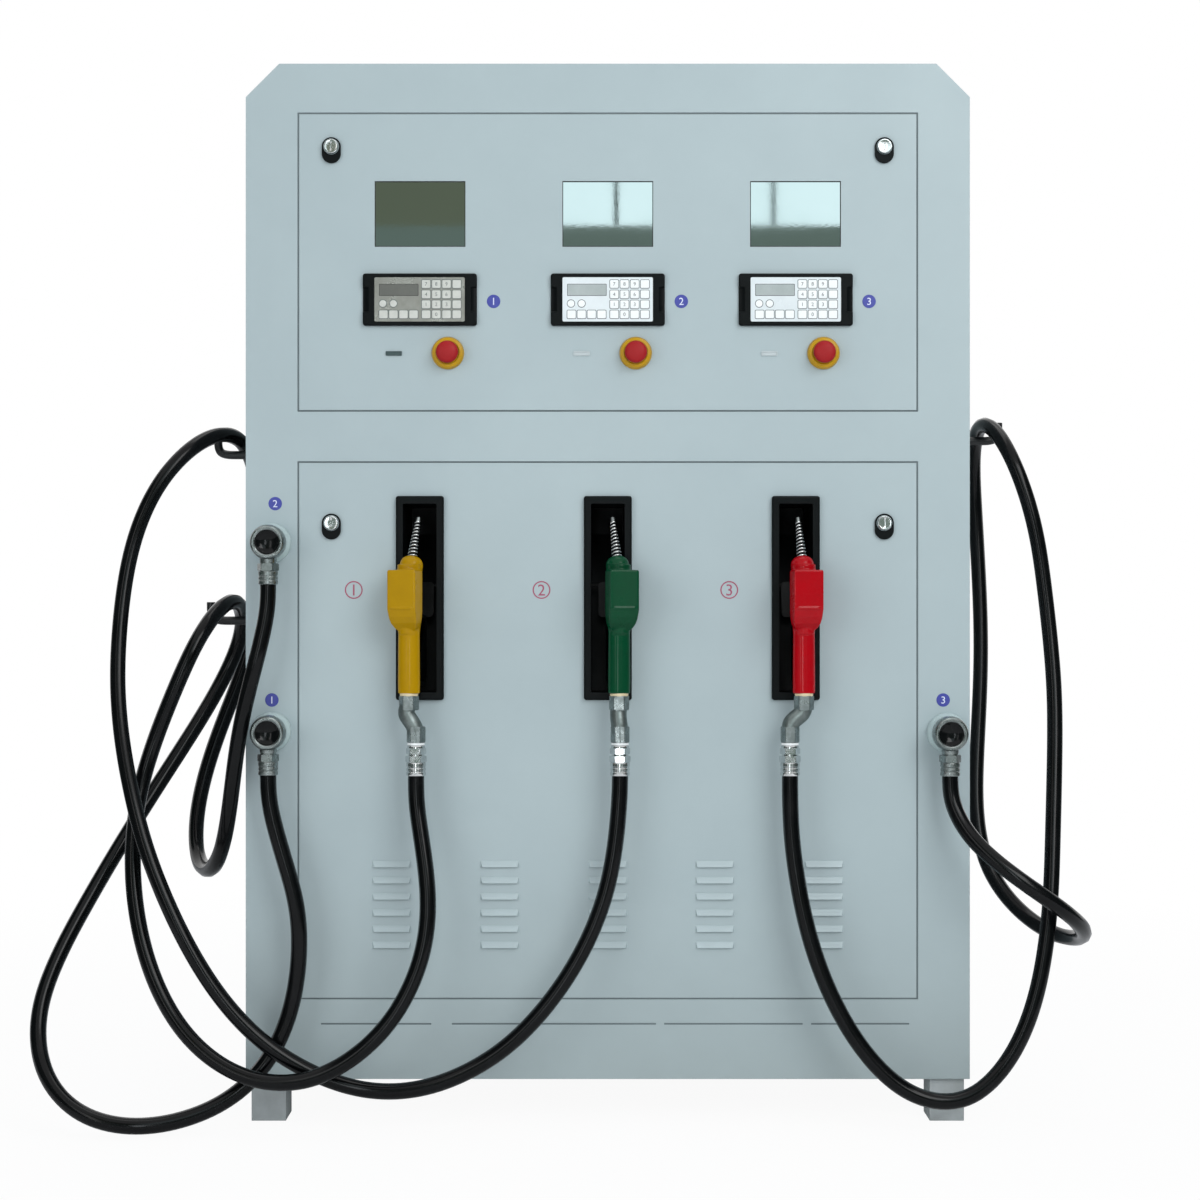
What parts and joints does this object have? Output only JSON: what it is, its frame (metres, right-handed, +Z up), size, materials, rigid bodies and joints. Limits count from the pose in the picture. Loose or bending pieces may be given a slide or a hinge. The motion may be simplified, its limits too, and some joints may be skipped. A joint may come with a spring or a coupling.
{
  "type": "fuel dispenser",
  "caption": "Cabinet fuel dispenser with display windows, keypads and stop buttons on a hinged door, nozzles in boots, side hose hangers and free hanging hoses.",
  "frame": {"origin": "on the floor under the middle of the dispenser, hoses left out", "axes": "+Z up; the front with the displays and nozzles faces -Y; +X is to the right for someone facing it"},
  "size_m": [1.8944, 0.69, 1.9],
  "materials": {
    "cabinet_paint": "satin powder coat, pale grey-blue",
    "galvanised_steel": "dull zinc",
    "machined_steel": "turned",
    "chrome": "bright plated",
    "display_glass": "dark tinted display glass",
    "keypad_face": "membrane on a black bezel",
    "stop_yellow": "moulded",
    "stop_red": "moulded",
    "black_plastic": "fine moulded grain",
    "nozzle_yellow": "dipped vinyl cover",
    "nozzle_green": "dipped vinyl cover",
    "nozzle_red": "dipped vinyl cover",
    "hose_rubber": "smooth extruded",
    "cast_iron": "painted casting"
  },
  "bodies": {
    "root": {"base_frame": "galvanised_steel", "control_unit": "galvanised_steel", "divider_shelf": "galvanised_steel", "flow_meter_1": "machined_steel", "flow_meter_2": "machined_steel", "flow_meter_3": "machined_steel", "front_frame": "cabinet_paint", "hose_1": "hose_rubber", "hose_2": "hose_rubber", "hose_3": "hose_rubber", "hose_hanger_1": "black_plastic", "hose_hanger_2": "black_plastic", "hose_hanger_3": "black_plastic", "hose_outlet_1": "chrome", "hose_outlet_2": "chrome", "hose_outlet_3": "chrome", "left_side_panel": "cabinet_paint", "lower_panel": "cabinet_paint", "nozzle_boot_1": "black_plastic", "nozzle_boot_2": "black_plastic", "nozzle_boot_3": "black_plastic", "pump_unit_1": "cast_iron", "pump_unit_2": "cast_iron", "pump_unit_3": "cast_iron", "rear_panel": "cabinet_paint", "right_side_panel": "cabinet_paint", "top_cover": "cabinet_paint", "upper_door_hinge_pin": "machined_steel"},
    "upper_door": {"upper_door": "cabinet_paint", "display_window_1": "display_glass", "keypad_1": "keypad_face", "stop_collar_1": "stop_yellow", "display_window_2": "display_glass", "keypad_2": "keypad_face", "stop_collar_2": "stop_yellow", "display_window_3": "display_glass", "keypad_3": "keypad_face", "stop_collar_3": "stop_yellow"},
    "lock_1": {"lock_1": "chrome"},
    "lock_2": {"lock_2": "chrome"},
    "lock_3": {"lock_3": "chrome"},
    "lock_4": {"lock_4": "chrome"},
    "stop_button_1": {"stop_button_1": "stop_red"},
    "nozzle_1": {"nozzle_body_1": "nozzle_yellow", "nozzle_spout_1": "chrome", "nozzle_swivel_1": "machined_steel"},
    "nozzle_lever_1": {"nozzle_lever_1": "black_plastic"},
    "hose_coupling_1": {"hose_coupling_1": "chrome"},
    "stop_button_2": {"stop_button_2": "stop_red"},
    "nozzle_2": {"nozzle_body_2": "nozzle_green", "nozzle_spout_2": "chrome", "nozzle_swivel_2": "machined_steel"},
    "nozzle_lever_2": {"nozzle_lever_2": "black_plastic"},
    "hose_coupling_2": {"hose_coupling_2": "chrome"},
    "stop_button_3": {"stop_button_3": "stop_red"},
    "nozzle_3": {"nozzle_body_3": "nozzle_red", "nozzle_spout_3": "chrome", "nozzle_swivel_3": "machined_steel"},
    "nozzle_lever_3": {"nozzle_lever_3": "black_plastic"},
    "hose_coupling_3": {"hose_coupling_3": "chrome"}
  },
  "joints": [
    {"name": "upper_door_hinge", "type": "hinge", "parent": "root", "child": "upper_door", "pos_m": [0, -0.22395, 1.2845], "axis": [1, 0, 0], "range_deg": [0, 80]},
    {"name": "lock_1_turn", "type": "hinge", "parent": "upper_door", "child": "lock_1", "pos_m": [-0.496, -0.23475, 1.75], "axis": [0, -1, 0], "range_deg": [0, 90]},
    {"name": "lock_2_turn", "type": "hinge", "parent": "upper_door", "child": "lock_2", "pos_m": [0.496, -0.23475, 1.75], "axis": [0, 1, 0], "range_deg": [0, 90]},
    {"name": "lock_3_turn", "type": "hinge", "parent": "root", "child": "lock_3", "pos_m": [-0.496, -0.23475, 1.075], "axis": [0, -1, 0], "range_deg": [0, 90]},
    {"name": "lock_4_turn", "type": "hinge", "parent": "root", "child": "lock_4", "pos_m": [0.496, -0.23475, 1.075], "axis": [0, 1, 0], "range_deg": [0, 90]},
    {"name": "stop_button_1_press", "type": "slide", "parent": "upper_door", "child": "stop_button_1", "axis": [0, 1, 0], "range_m": [0, 0.005], "stiffness_N_per_m": 800, "springref_m": -0.002},
    {"name": "stop_button_2_press", "type": "slide", "parent": "upper_door", "child": "stop_button_2", "axis": [0, 1, 0], "range_m": [0, 0.005], "stiffness_N_per_m": 800, "springref_m": -0.002},
    {"name": "stop_button_3_press", "type": "slide", "parent": "upper_door", "child": "stop_button_3", "axis": [0, 1, 0], "range_m": [0, 0.005], "stiffness_N_per_m": 800, "springref_m": -0.002},
    {"name": "nozzle_1_lift_out", "type": "slide", "parent": "root", "child": "nozzle_1", "axis": [0, -1, 0], "range_m": [0, 0.22], "deforming": ["hose_1"]},
    {"name": "nozzle_1_lever_squeeze", "type": "hinge", "parent": "nozzle_1", "child": "nozzle_lever_1", "pos_m": [-0.34197, -0.237, 0.893], "axis": [-0.9613, 0.2756, 0], "range_deg": [0, 14], "stiffness_Nm_per_rad": 1.5, "springref_deg": -6.88},
    {"name": "hose_1_swivel", "type": "hinge", "parent": "nozzle_1", "child": "hose_coupling_1", "pos_m": [-0.34, -0.28045, 0.65], "axis": [0, 0, 1], "continuous": true},
    {"name": "nozzle_2_lift_out", "type": "slide", "parent": "root", "child": "nozzle_2", "axis": [0, -1, 0], "range_m": [0, 0.22], "deforming": ["hose_2"]},
    {"name": "nozzle_2_lever_squeeze", "type": "hinge", "parent": "nozzle_2", "child": "nozzle_lever_2", "pos_m": [0.01032, -0.23664, 0.893], "axis": [-0.9703, -0.2419, 0], "range_deg": [0, 14], "stiffness_Nm_per_rad": 1.5, "springref_deg": -6.88},
    {"name": "hose_2_swivel", "type": "hinge", "parent": "nozzle_2", "child": "hose_coupling_2", "pos_m": [0.0215, -0.28045, 0.65], "axis": [0, 0, 1], "continuous": true},
    {"name": "nozzle_3_lift_out", "type": "slide", "parent": "root", "child": "nozzle_3", "axis": [0, -1, 0], "range_m": [0, 0.22], "deforming": ["hose_3"]},
    {"name": "nozzle_3_lever_squeeze", "type": "hinge", "parent": "nozzle_3", "child": "nozzle_lever_3", "pos_m": [0.34243, -0.23584, 0.893], "axis": [-0.9903, -0.1392, 0], "range_deg": [0, 14], "stiffness_Nm_per_rad": 1.5, "springref_deg": -6.88},
    {"name": "hose_3_swivel", "type": "hinge", "parent": "nozzle_3", "child": "hose_coupling_3", "pos_m": [0.3228, -0.28045, 0.65], "axis": [0, 0, 1], "continuous": true}
  ]
}
